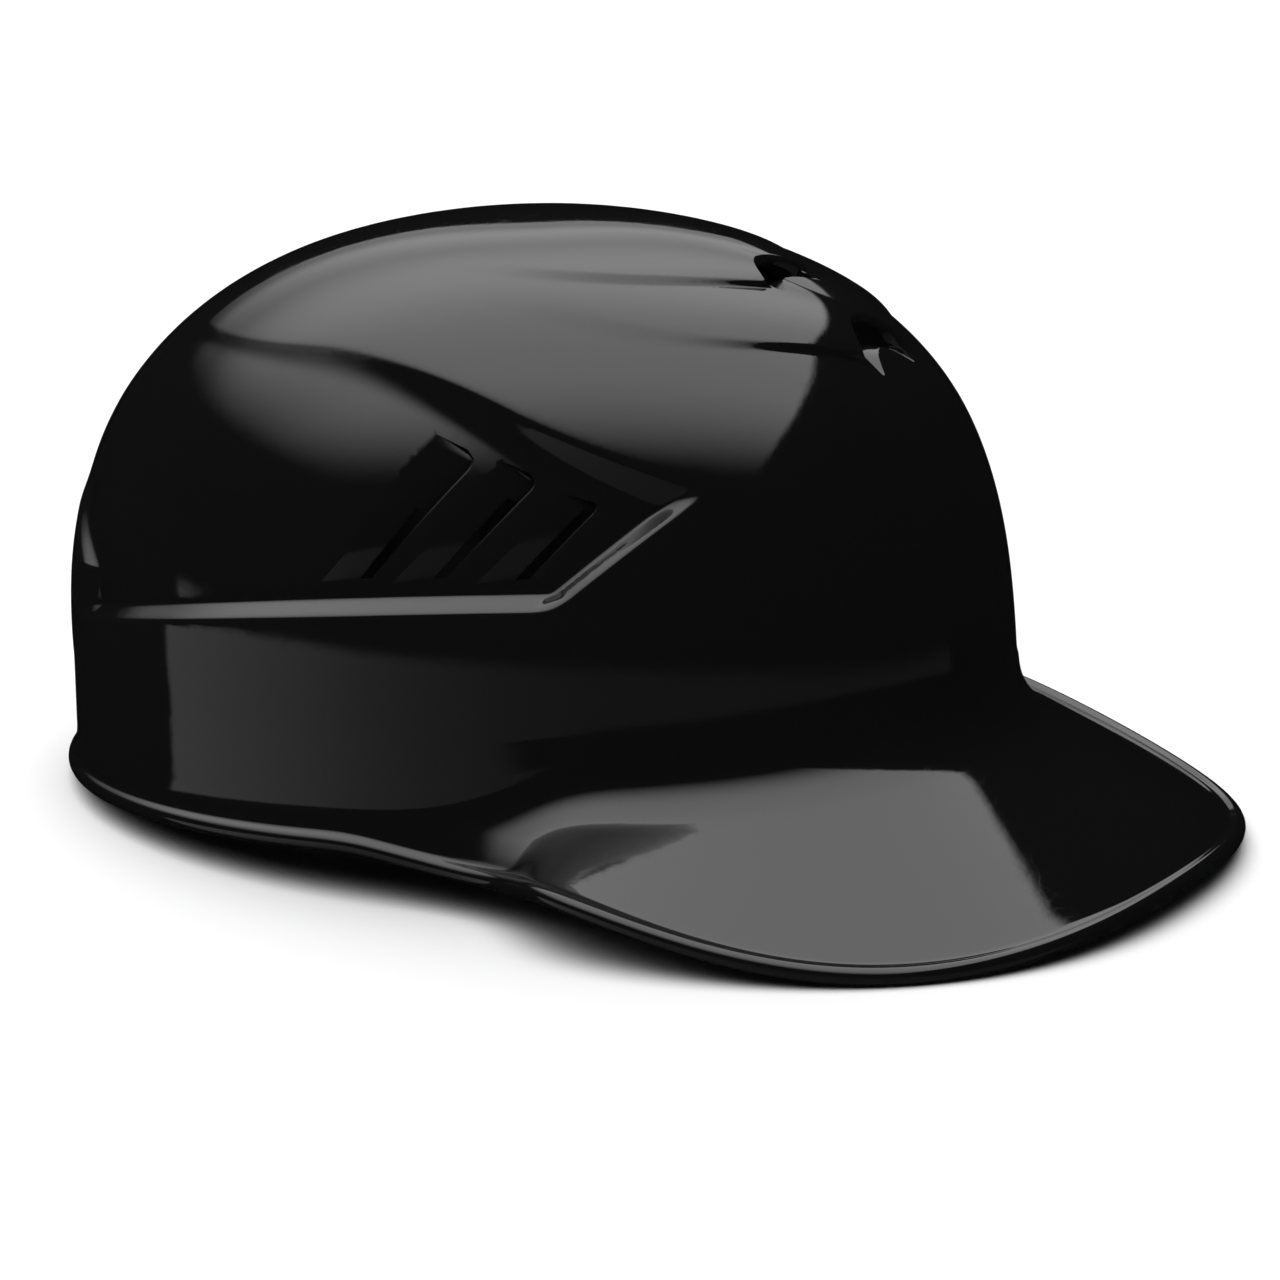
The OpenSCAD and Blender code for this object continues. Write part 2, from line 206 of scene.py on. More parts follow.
def section(th):
    """Rim sections, one per th: down the wall, through a fillet, along the brim, round
    the rolled bead and back up the inside. Shape: (rows, columns, 3)."""
    z = mix(ROOT_REAR, ROOT_FRONT, (1 - ease(np.abs(th) / 90)) ** 0.8)
    r = skin(th, z - WALL_H)
    e = edge(th)
    d = unit(e - r)
    w = unit(np.stack([r[:, 0] / HALF_L ** 2, r[:, 1] / HALF_W ** 2, 0 * th], -1))
    side = unit(d * [1, 1, 0] + 0.02 * w)
    n = unit(np.stack([-side[:, 0] * d[:, 2], -side[:, 1] * d[:, 2],
                       np.hypot(d[:, 0], d[:, 1])], -1))
    f = (ROOT_BLEND * np.sqrt(1 - d[:, 2] ** 2))[:, None]
    a, c, top = r + f * [0, 0, 1], r + d * f, skin(th, 0)
    far = e - d * BEAD_W

    bend_at = np.linspace(0, 1, 11)
    bend = [(1 - k) ** 2 * a + 2 * k * (1 - k) * r + k * k * c for k in bend_at]
    wall = [mix(top, a, k) for k in np.linspace(0, 1, 9)[1:-1]]
    brim_at = np.linspace(0, 1, 14)[1:]
    brim = [mix(c, far, k) for k in brim_at]
    roll = [far + d * 0.9 + n * 0.04, far + d * 1.35 + n * 0.2]
    for angle in np.linspace(150, -90, 15):
        roll.append(e + d * (BEAD_R * (cosd(angle) - 1))
                    + n * (BEAD_R * sind(angle) - (WALL - 1.6) / 2))
    under = [mix(c, far, k) - n * WALL for k in brim_at[::-2]]
    inner_bend = [b - WALL * unit(mix(w, n, k)) for b, k in zip(bend[::-2], bend_at[::-2])]
    inner_wall = [mix(top, a, k) - WALL * w for k in (0.8, 0.6, 0.4, 0.2)]
    return np.array(wall + bend + brim + roll + under + inner_bend + inner_wall)


def spaced(*stops):
    """Values from stop to stop: each stop after the first is (value, step)."""
    out = [stops[0]]
    for value, step in stops[1:]:
        count = max(1, round(abs(value - out[-1]) / step))
        out += list(np.linspace(out[-1], value, count + 1)[1:])
    return np.array(out)


def shell_grid():
    """The shell's columns, its points row by row from the crown's outside round the rim
    to the crown's inside, and the dome angles of its outer rows."""
    half = spaced(0.0, (150, 1.05), (180, 2.0))
    th = np.concatenate([-half[:0:-1], half[:-1]])
    up = spaced(88.5, (68, 1.9), (0, 1.1))
    down = spaced(0.0, (60, 2.4), (88.5, 3.6))
    outer = dome_point(th[None], up[:, None])
    inner = dome_point(th[None], down[:, None], -WALL)
    return th, np.concatenate([outer, section(th), inner]), up
# --- end of helmet geometry --------------------------------------------------------


# --- placing and mesh helpers -------------------------------------------------------

MM = 0.001


def turned(p):
    """The helmet's nose-up turn as it stands."""
    c, s = cosd(PITCH), sind(PITCH)
    return np.stack([p[..., 0] * c - p[..., 2] * s, p[..., 1],
                     p[..., 0] * s + p[..., 2] * c], -1)


shell_th, shell_points, shell_up = shell_grid()
shell_turned = turned(shell_points).reshape(-1, 3)
cad_low, cad_high = (np.array(c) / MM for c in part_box("shell"))
low, high = shell_turned.min(0), shell_turned.max(0)
PLACE = np.array([(cad_low[0] + cad_high[0] - low[0] - high[0]) / 2, 0,
                  cad_low[2] - low[2]])


def to_world(p):
    return (turned(np.asarray(p, float)) + PLACE) * MM


def make_mesh(name, points, faces, materials=(), face_materials=None, sharp=32):
    """An object from helmet points and faces, smooth up to sharp degrees."""
    mesh = bpy.data.meshes.new(name)
    mesh.from_pydata(to_world(points).tolist(), [], [list(map(int, f)) for f in faces])
    mesh.update()
    for material in materials:
        mesh.materials.append(material)
    if face_materials is not None:
        mesh.polygons.foreach_set("material_index", np.asarray(face_materials, np.int32))
    mesh.shade_smooth()
    mesh.set_sharp_from_angle(angle=math.radians(sharp))
    obj = bpy.data.objects.new(name, mesh)
    bpy.context.scene.collection.objects.link(obj)
    return obj


def grid_faces(rows, columns, wrap_columns=False, wrap_rows=False, start=0):
    """Quads of a grid of points stored row by row."""
    i, j = np.meshgrid(np.arange(rows if wrap_rows else rows - 1),
                       np.arange(columns if wrap_columns else columns - 1),
                       indexing="ij")
    a = i * columns + j
    b = i * columns + (j + 1) % columns
    c = (i + 1) % rows * columns + (j + 1) % columns
    d = (i + 1) % rows * columns + j
    return (np.stack([a, b, c, d], -1).reshape(-1, 4) + start).tolist()


def outward(points, faces):
    """The faces, turned over if they enclose their volume inside out."""
    volume = 0.0
    for f in faces:
        for k in range(1, len(f) - 1):
            volume += np.dot(points[f[0]], np.cross(points[f[k]], points[f[k + 1]]))
    return faces if volume > 0 else [f[::-1] for f in faces]


def rings_solid(rings):
    """Points and faces of a solid through equal closed rings, with flat ends."""
    rings = np.asarray(rings, float)
    n, k = rings.shape[:2]
    points = rings.reshape(-1, 3)
    faces = grid_faces(n, k, wrap_columns=True)
    faces += [list(range(k))[::-1], list(range((n - 1) * k, n * k))]
    return points, outward(points, faces)


def joined(solids):
    points, faces, at = [], [], 0
    for p, f in solids:
        points.append(p)
        faces += [[i + at for i in face] for face in f]
        at += len(p)
    return np.concatenate(points), faces


def tube(path, radius, sides=8, closed=True):
    """Points and faces of a round tube along a path."""
    path = np.asarray(path, float)
    if closed:
        ahead = unit(np.roll(path, -1, 0) - np.roll(path, 1, 0))
    else:
        ahead = unit(np.gradient(path, axis=0))
    across = unit(np.cross(ahead, [0.31, 0.52, 0.79]))
    other = np.cross(ahead, across)
    turn = np.radians(np.arange(sides) * 360 / sides)
    rings = (path[:, None] + radius * (np.cos(turn)[None, :, None] * across[:, None]
                                       + np.sin(turn)[None, :, None] * other[:, None]))
    faces = grid_faces(len(path), sides, wrap_columns=True, wrap_rows=closed)
    if not closed:
        faces += [list(range(sides))[::-1],
                  list(range((len(path) - 1) * sides, len(path) * sides))]
    points = rings.reshape(-1, 3)
    return points, outward(points, faces)


# --- materials ----------------------------------------------------------------------

class Nodes:
    """A short way to write a node material."""

    def __init__(self, name, kind="material"):
        if kind == "material":
            self.block = bpy.data.materials.new(name)
        else:
            self.block = bpy.data.worlds.new(name)
        self.block.use_nodes = True
        self.tree = self.block.node_tree
        self.tree.nodes.clear()

    def add(self, kind, settings=None, **inputs):
        node = self.tree.nodes.new("ShaderNode" + kind)
        for key, value in (settings or {}).items():
            setattr(node, key, value)
        for key, value in inputs.items():
            self.put(node, key.replace("_", " "), value)
        return node

    def put(self, node, socket, value):
        target = node.inputs[int(socket)] if socket.isdigit() else node.inputs[socket]
        if isinstance(value, bpy.types.NodeSocket):
            self.tree.links.new(value, target)
        else:
            target.default_value = value

    def math(self, operation, *values):
        node = self.add("Math", {"operation": operation})
        for k, value in enumerate(values):
            self.put(node, str(k), value)
        return node.outputs[0]

    def between(self, value, low, high, to_low=0.0, to_high=1.0):
        node = self.add("MapRange", {"interpolation_type": "SMOOTHSTEP"}, Value=value,
                        From_Min=low, From_Max=high, To_Min=to_low, To_Max=to_high)
        return node.outputs[0]

    def noise(self, coordinates, scale, detail=2.0, rough=0.5):
        node = self.add("TexNoise", Vector=coordinates, Scale=scale, Detail=detail,
                        Roughness=rough)
        return node.outputs[0]

    def place(self):
        return self.add("TexCoord").outputs["Object"]

    def bump(self, height, strength, distance, normal=None):
        node = self.add("Bump", Height=height, Strength=strength, Distance=distance)
        if normal is not None:
            self.put(node, "Normal", normal)
        return node.outputs[0]

    def mixed(self, factor, a, b):
        node = self.add("Mix", {"data_type": "RGBA"})
        self.put(node, "0", factor)
        self.put(node, "6", a)
        self.put(node, "7", b)
        return node.outputs[2]

    def surface(self, **inputs):
        shader = self.add("BsdfPrincipled", **inputs)
        out = self.add("OutputMaterial")
        self.tree.links.new(shader.outputs[0], out.inputs[0])
        return self.block


def grey(v, tint=1.0):
    return (v, v, v * tint, 1.0)


def gloss_black():
    """Polished injection-moulded plastic, with a trace of orange peel, wipe marks and
    a few hair scratches."""
    m = Nodes("shell_gloss_black")
    at = m.place()
    peel = m.noise(at, 240.0, 2.0)
    wipes = m.noise(m.add("Mapping", Vector=at, Scale=(9.0, 9.0, 38.0)).outputs[0], 3.0, 4.0)
    haze = m.between(wipes, 0.45, 0.75, 0.045, 0.085)
    scratch = m.add("TexWave", {"wave_type": "BANDS", "bands_direction": "DIAGONAL"},
                    Vector=at, Scale=60.0, Distortion=38.0, Detail=3.0, Detail_Scale=0.7)
    hair = m.between(scratch.outputs[1], 0.985, 1.0, 0.0, 0.05)
    rough = m.math("ADD", haze, hair)
    colour = m.mixed(m.noise(at, 14.0), grey(0.0042, 1.04), grey(0.0055, 1.04))
    return m.surface(Base_Color=colour, Roughness=rough, IOR=1.5,
                     Normal=m.bump(peel, 0.06, 0.0002))


def satin_black():
    """The unpolished inside of the moulding, with flow marks."""
    m = Nodes("shell_inside_satin")
    at = m.place()
    flow = m.noise(m.add("Mapping", Vector=at, Scale=(4.0, 14.0, 30.0)).outputs[0], 2.5, 5.0)
    grain = m.noise(at, 900.0, 3.0)
    colour = m.mixed(flow, grey(0.006, 1.03), grey(0.011, 1.03))
    return m.surface(Base_Color=colour, Roughness=m.between(flow, 0.3, 0.7, 0.34, 0.5),
                     IOR=1.5, Normal=m.bump(grain, 0.25, 0.0001))


SHELL_OUT, SHELL_IN = gloss_black(), satin_black()

# --- shell ---------------------------------------------------------------------------

PANEL_SIDES = (-1, 1)
# Each louvre: its front edge and the line where its ramp starts, both from bottom to
# top as (x, z), and how far up the slot goes
LOUVRES = (
    (((6.6, 64.2), (31.7, 93.5)), ((-6.5, 63.6), (19.5, 98.5)), 0.57),
    (((25.8, 64.8), (46.5, 88.0)), ((12.5, 63.9), (36.5, 92.5)), 0.78),
    (((45.0, 64.2), (60.5, 81.8)), ((32.5, 63.7), (51.5, 84.5)), 0.90),
)
RAMP_DEPTH, SLOT_SHARE = 2.7, 0.27
CUT_ABOVE, CUT_THROUGH = 2.5, 11.0
# A hood's opening: its half width, its floor and roof below the dome, and the rise of
# the floor in front of it
MOUTH_HALF, MOUTH_FLOOR, MOUTH_ROOF, MOUTH_RISE = 8.2, 8.0, 1.6, 0.9


def side_at(x, z):
    """(th, v) of the plain dome's point with that x and z, on the left side."""
    th = np.full(np.shape(x), 90.0)
    for _ in range(12):
        e = 2 / mix(RISE_BACK, RISE_FRONT, (1 + cosd(th)) / 2)
        v = np.degrees(np.arcsin(np.clip((z - WALL_H) / RISE, 0, 1) ** (1 / e)))
        c = x / (HALF_L * cosd(v) ** e)
        th = np.degrees(np.arccos(np.clip(spow(c, PLAN_N / 2), -1, 1)))
    return th, v


def crown_at(x, y):
    """(th, v) of the plain dome's point with that x and y, near the front centre."""
    th = np.degrees(np.arctan2(y / HALF_W, x / HALF_L))
    for _ in range(20):
        c = spow(cosd(th), 2 / PLAN_N)
        r = x / (HALF_L * c)
        s = y / (r * HALF_W * (1 - EGG * c))
        th = np.degrees(np.arcsin(np.clip(spow(s, PLAN_N / 2), -1, 1)))
    e = 2 / mix(RISE_BACK, RISE_FRONT, (1 + cosd(th)) / 2)
    return th, np.degrees(np.arccos(np.clip(r ** (1 / e), 0, 1)))


def in_panel(x, z, depth, side):
    """A point that deep under a side panel's surface."""
    th, v = side_at(np.asarray(x, float), np.asarray(z, float))
    p = skin(th, v)
    q = p - skin_normal(th, v) * (panel_sink(p) + depth)[..., None]
    return q * [1, side, 1]


def louvre_ring(louvre, s, profile, side):
    """One cross-section of a louvre's cutter: profile gives (t, depth) pairs, where t
    runs from the front edge, 0, to the ramp's start, 1."""
    (e0, e1), (r0, r1), _ = louvre
    e, r = mix(np.array(e0), np.array(e1), s), mix(np.array(r0), np.array(r1), s)
    q = max(s - 0.88, 0) / 0.12
    e = mix(e, r, 0.3 * (1 - math.sqrt(max(1 - q * q, 0))))
    t = np.array([k for k, _ in profile])
    x, z = e[0] + (r[0] - e[0]) * t, e[1] + (r[1] - e[1]) * t
    return in_panel(x, z, np.array([d for _, d in profile]), side)


def louvre_ramp(louvre, side):
    rings = []
    for s in np.linspace(0, 1, 33):
        deep = RAMP_DEPTH * (1 - 0.25 * s)
        floor = [(t, mix(deep, -0.12, t)) for t in np.linspace(0, 1, 9)]
        lip = [(1.0, -CUT_ABOVE), (-0.1, -CUT_ABOVE), (-0.1, -0.35), (-0.055, 0.1),
               (-0.02, 0.45)]
        rings.append(louvre_ring(louvre, s, floor + lip, side))
    return rings_solid(rings)


def louvre_slot(louvre, side):
    rings = []
    for s in np.linspace(0.02, louvre[2], 17):
        box = [(0.012, 0.6), (SLOT_SHARE, 0.6), (SLOT_SHARE, CUT_THROUGH),
               (0.012, CUT_THROUGH)]
        rings.append(louvre_ring(louvre, s, box, side))
    return rings_solid(rings)


def hood_mouth(nose):
    """The opening under a crown hood: an arch that runs back under the hood, with a
    floor that comes up again in front of it."""
    rings = []
    turn = np.arange(32) * 360 / 32
    y = MOUTH_HALF * spow(cosd(turn), 0.75)
    lip = nose - HOOD_RAKE * np.maximum(1 - (y / HOOD_TIP) ** 2, 0)
    for ahead in np.concatenate([np.linspace(-8, 0, 5), [0.4, 2, 4, 6, 8, 10]]):
        floor = -MOUTH_FLOOR + MOUTH_RISE * max(ahead, 0)
        roof = -MOUTH_ROOF if ahead <= 0 else CUT_ABOVE
        h = (roof + floor) / 2 + (roof - floor) / 2 * spow(sind(turn), 0.7)
        th, v = crown_at(lip + ahead, y)
        rings.append(skin(th, v) + skin_normal(th, v) * h[:, None])
    return rings_solid(rings)


def cut(obj, solids, name):
    points, faces = joined(solids)
    cutter = make_mesh(name, points, faces, obj.data.materials[:])
    modifier = obj.modifiers.new(name, "BOOLEAN")
    modifier.operation, modifier.solver, modifier.object = "DIFFERENCE", "MANIFOLD", cutter
    done = bpy.data.meshes.new_from_object(
        obj.evaluated_get(bpy.context.evaluated_depsgraph_get()))
    obj.modifiers.clear()
    old, obj.data = obj.data, done
    bpy.data.objects.remove(cutter)
    bpy.data.meshes.remove(old)


def relief_error(corners):
    """How far the relief strays from flat between the four corners of each quad, given
    as (th, v) in the shape (quads, 4, 2)."""
    k = np.array([0.25, 0.5, 0.75])
    a, b = np.meshgrid(k, k)
    weights = np.stack([(1 - a) * (1 - b), a * (1 - b), a * b, (1 - a) * b], -1)
    inner = np.einsum("ijk,qkc->qijc", weights, corners)

    def height(q):
        return relief(skin(q[..., 0], np.maximum(q[..., 1], 0)))

    flat = np.einsum("ijk,qk->qij", weights, height(corners))
    return np.abs(height(inner) - flat).max((1, 2))


def refined_dome():
    """The grid's dome rows as a mesh over (th, v), divided where the relief is sharp.
    Returns its (th, v) corners, with the grid's own first, and its faces."""
    bm = bmesh.new()
    for v in shell_up:
        for th in shell_th:
            bm.verts.new((th, v, 0))
    bm.verts.ensure_lookup_table()
    for face in grid_faces(len(shell_up), len(shell_th)):
        bm.faces.new([bm.verts[i] for i in face])
    for _ in range(REFINE_PASSES):
        bm.faces.ensure_lookup_table()
        quads = [f for f in bm.faces if len(f.verts) == 4]
        corners = np.array([[v.co[:2] for v in f.verts] for f in quads])
        chosen = np.flatnonzero(relief_error(corners) > RELIEF_ERROR)
        edges = {e for k in chosen for e in quads[k].edges}
        bmesh.ops.subdivide_edges(bm, edges=list(edges), cuts=1, use_grid_fill=True)
    bm.verts.index_update()
    corners = np.array([v.co[:2] for v in bm.verts])
    faces = [[v.index for v in f.verts] for f in bm.faces]
    bm.free()
    return corners, faces


def make_shell():
    rows, columns = shell_points.shape[:2]
    top = len(shell_up)
    corners, dome_faces = refined_dome()
    extra = corners[top * columns:]
    poles = dome_point(0, 90) * [0, 0, 1], dome_point(0, 90, -WALL) * [0, 0, 1]
    base = rows * columns
    points = np.concatenate([shell_points.reshape(-1, 3), poles,
                             dome_point(extra[:, 0], extra[:, 1])])
    shift = base + 2 - top * columns
    faces = [[i if i < top * columns else i + shift for i in f] for f in dome_faces]
    seam = columns - 1
    faces += [[i * columns + seam, i * columns, (i + 1) * columns, (i + 1) * columns + seam]
              for i in range(top - 1)]
    faces += grid_faces(rows - top + 1, columns, wrap_columns=True, start=(top - 1) * columns)
    last = (rows - 1) * columns
    for j in range(columns):
        k = (j + 1) % columns
        faces += [[base, k, j], [base + 1, last + j, last + k]]
    inner_from = (top + RIM_ROWS) * columns
    inside = [int(min(f) >= inner_from and f[0] <= base + 1) for f in faces]
    obj = make_mesh("helmet_shell", points, outward(points, faces), (SHELL_OUT, SHELL_IN),
                    inside)
    cut(obj, [louvre_ramp(l, s) for l in LOUVRES for s in PANEL_SIDES]
        + [hood_mouth(nose) for nose, _ in HOODS], "ramps")
    cut(obj, [louvre_slot(l, s) for l in LOUVRES for s in PANEL_SIDES], "slots")
    obj.data.shade_smooth()
    obj.data.set_sharp_from_angle(angle=math.radians(32))
    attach(obj, "root")
    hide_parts("shell")
    return obj


REFINE_PASSES, RELIEF_ERROR = 3, 0.016
# Rows of the rim's section that are outside: wall, fillet, brim and most of the bead
RIM_ROWS = 7 + 11 + 13 + 2 + 12
make_shell()

# --- padding ---------------------------------------------------------------------------

# Clearances behind the foam and behind the fabric, and the foam's thickness at the
# brow and at the sides
BOND, DISC_GAP, FOAM_T, FOAM_SIDE_T = 0.2, 1.6, 16.0, 7.0
CROWN_V, CROWN_FOAM_T = 72.0, 11.0
FABRIC_INSET = np.array([1.5, 0.8])


def closed_cell_foam():
    """Die-cut closed-cell foam: fine cells, a little dust and a faint skin gloss."""
    m = Nodes("foam_closed_cell")
    at = m.place()
    cells = m.add("TexVoronoi", {"feature": "F1"}, Vector=at, Scale=1100.0).outputs[0]
    pits = m.add("TexVoronoi", {"feature": "F1"}, Vector=at, Scale=330.0).outputs[0]
    mottle = m.noise(at, 45.0, 4.0)
    colour = m.mixed(m.between(cells, 0.05, 0.6), grey(0.018, 1.05), grey(0.040, 1.05))
    colour = m.mixed(m.between(mottle, 0.3, 0.75, 0.0, 0.55), colour, grey(0.052, 1.04))
    height = m.math("ADD", m.math("MULTIPLY", cells, 0.5), m.between(pits, 0.0, 0.25, 0.0, 0.5))
    return m.surface(Base_Color=colour, Roughness=m.between(mottle, 0.3, 0.7, 0.72, 0.9),
                     IOR=1.4, Normal=m.bump(height, 0.55, 0.0004))


def knit_fabric():
    """Brushed tricot over thin foam: rows of small loops under a fuzzy nap."""
    m = Nodes("pad_brushed_knit")
    at = m.place()
    loops = m.add("TexVoronoi", {"feature": "F1"},
                  Vector=m.add("Mapping", Vector=at, Scale=(1.0, 1.0, 1.7)).outputs[0],
                  Scale=1150.0, Randomness=0.35).outputs[0]
    nap = m.noise(at, 2600.0, 4.0, 0.65)
    wear = m.noise(at, 28.0, 3.0)
    colour = m.mixed(m.between(loops, 0.1, 0.55), grey(0.050, 1.06), grey(0.020, 1.08))
    colour = m.mixed(m.between(nap, 0.5, 0.85, 0.0, 0.35), colour, grey(0.11, 1.05))
    colour = m.mixed(m.between(wear, 0.35, 0.7, 0.0, 0.3), colour, grey(0.060, 1.06))
    height = m.math("SUBTRACT", m.math("MULTIPLY", nap, 0.35), m.math("MULTIPLY", loops, 0.8))
    return m.surface(Base_Color=colour, Roughness=0.88, IOR=1.4, Sheen_Weight=0.35,
                     Sheen_Roughness=0.45, Normal=m.bump(height, 0.6, 0.0004))


def binding_tape():
    """The woven tape round each pad, with fine ribs."""
    m = Nodes("pad_binding_tape")
    at = m.place()
    ribs = m.add("TexVoronoi", {"feature": "F1"}, Vector=at, Scale=1700.0,
                 Randomness=0.2).outputs[0]
    fuzz = m.noise(at, 900.0, 3.0)
    colour = m.mixed(m.between(ribs, 0.1, 0.5), grey(0.032, 1.04), grey(0.012, 1.04))
    height = m.math("SUBTRACT", m.math("MULTIPLY", fuzz, 0.3), ribs)
    return m.surface(Base_Color=colour, Roughness=0.7, IOR=1.45, Sheen_Weight=0.15,
                     Normal=m.bump(height, 0.5, 0.0003))


def thread():
    """Twisted sewing thread."""
    m = Nodes("pad_thread")
    at = m.place()
    twist = m.noise(at, 1800.0, 2.0)
    colour = m.mixed(twist, grey(0.06, 1.03), grey(0.11, 1.03))
    return m.surface(Base_Color=colour, Roughness=0.55, IOR=1.5,
                     Normal=m.bump(twist, 0.4, 0.0002))


def hook_tape():
    """The stubble of hooks on a self-adhesive disc."""
    m = Nodes("hook_stubble")
    at = m.place()
    hooks = m.add("TexVoronoi", {"feature": "F1"}, Vector=at, Scale=900.0,
                  Randomness=0.3).outputs[0]
    colour = m.mixed(m.between(hooks, 0.1, 0.45), grey(0.07, 1.02), grey(0.012, 1.02))
    return m.surface(Base_Color=colour, Roughness=m.between(hooks, 0.1, 0.5, 0.35, 0.7),
                     IOR=1.5, Normal=m.bump(m.math("MULTIPLY", hooks, -1.0), 0.9, 0.0006))


FOAM, KNIT, TAPE, THREAD, HOOKS = (closed_cell_foam(), knit_fabric(), binding_tape(),
                                   thread(), hook_tape())

# Each pad place: the middle and half spans in (th, v), cells along and across, and the
# places of its sewn channels along and across
PLACES = {
    "front": ((0, 5), (38, 17), (48, 16), (-0.5, 0, 0.5), ()),
    "right": ((-86, -2), (38, 12), (48, 12), (-0.5, 0, 0.5), ()),
    "left": ((86, -2), (38, 12), (48, 12), (-0.5, 0, 0.5), ()),
    "rear": ((180, 4), (44, 18), (48, 16), (-0.5, 0, 0.5), ()),
    "upper_right": ((-92, 47), (30, 9), (24, 10), (0,), ()),
    "upper_left": ((92, 47), (30, 9), (24, 10), (0,), ()),
    "upper_rear": ((180, 46), (34, 10), (24, 10), (0,), ()),
    "crown": (None, None, (16, 16), (0,), (0,)),
}


def foam_depth(th):
    return mix(FOAM_SIDE_T, FOAM_T, cosd(th) ** 2)


def pad_layers(name, inset):
    """A function from (x, y), each -1..1 over a pad place, and a distance inwards from
    the shell to a point, and one from (x, y) to the foam's thickness there."""
    at, span = PLACES[name][:2]
    if name == "crown":
        v0 = CROWN_V + (1.2 if inset else 0)

        def point(x, y, deep):
            r = np.maximum(np.abs(x), np.abs(y))
            round_off = r / np.maximum(np.hypot(x, y), 1e-9)
            th = np.degrees(np.arctan2(y * round_off, x * round_off))
            p = skin(th, 90 - (90 - v0) * r, -WALL - BOND)
            return p - skin_normal(th, np.minimum(90 - (90 - v0) * r, 89)) * [0, 0, 1] * (
                np.asarray(deep)[..., None])

        return point, lambda x, y: np.full(np.shape(x), CROWN_FOAM_T)
    at, span = np.array(at, float), np.array(span, float)
    if inset:
        span = span - FABRIC_INSET

    def point(x, y, deep):
        return dome_point(at[0] + span[0] * x * (1 - 0.1 * y ** 4),
                                at[1] + span[1] * y * (1 - 0.12 * x ** 4),
                                -WALL - BOND - deep)

    return point, lambda x, y: foam_depth(at[0] + span[0] * x)


def from_edge(point, x, y):
    """Distances in mm from a pad's nearest edge, on a grid of (x, y)."""
    mid = point(x, y, np.zeros_like(x))
    rows = np.linalg.norm(np.diff(mid, axis=0), axis=-1)
    cols = np.linalg.norm(np.diff(mid, axis=1), axis=-1)
    along = np.concatenate([np.zeros((1, x.shape[1])), np.cumsum(rows, 0)])
    across = np.concatenate([np.zeros((x.shape[0], 1)), np.cumsum(cols, 1)], 1)
    return np.minimum(np.minimum(along, along[-1:] - along),
                      np.minimum(across, across[:, -1:] - across))


def slab(outer, inner):
    """Points and faces of a closed slab between two equal grids of points."""
    nx, ny = outer.shape[:2]
    grid = np.arange(nx * ny).reshape(nx, ny)
    rim = np.concatenate([grid[:-1, 0], grid[-1, :-1], grid[:0:-1, -1], grid[0, :0:-1]])
    under = grid_faces(nx, ny)
    over = [[i + nx * ny for i in f[::-1]] for f in under]
    side = [[int(a), int(b), int(b) + nx * ny, int(a) + nx * ny]
            for a, b in zip(rim, np.roll(rim, -1))]
    points = np.concatenate([outer.reshape(-1, 3), inner.reshape(-1, 3)])
    faces = under + over + side
    edges = {}
    for f in faces:
        for a, b in zip(f, f[1:] + f[:1]):
            edges[(a, b)] = edges.get((a, b), 0) + 1
    if any((b, a) not in edges for a, b in edges):
        faces = under + over + [f[::-1] for f in side]
    return points, outward(points, faces)


def make_foam(name):
    """A foam block: flat edges cut square at the shell and well rounded inside."""
    point, thickness = pad_layers(name, False)
    nx, ny = PLACES[name][2]
    u = np.sin(np.linspace(-90, 90, nx + 1) * math.pi / 180)
    w = np.sin(np.linspace(-90, 90, ny * 2 + 1) * math.pi / 180)
    if name == "crown":
        u = w
    x, y = np.meshgrid(u, w, indexing="ij")
    e = from_edge(point, x, y)
    full = thickness(x, y)
    soft = np.clip(1 - e / 5.0, 0, 1)
    inner = point(x, y, full * (0.7 + 0.3 * np.sqrt(1 - soft * soft)))
    outer = point(x, y, 0.5 * np.clip(1 - e / 0.8, 0, 1) ** 2)
    points, faces = slab(outer, inner)
    obj = make_mesh("foam_block_" + name, points, faces, (FOAM,))
    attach(obj, "root")
    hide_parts("foam_" + name)
    return obj


# Depths in a fabric pad before it swells, from the plane of its hook discs inwards, and
# the width of a channel's slope
SEAM_DEPTH, BACK_DEPTH, START_T, PINCH_T, CHANNEL_W = 1.3, 0.3, 3.4, 1.2, 5.0
SWELL_CAP, PRESSURE, SIM_FRAMES = 2.2, 4.0, 20
BINDING_R, THREAD_R, STITCH_PITCH, STITCH_LIFT = 1.15, 0.33, 2.9, 0.12
# Where a stitch's points lie along it
STITCH = np.array([0, 0.25, 0.6, 1.2, 1.55, 1.8])


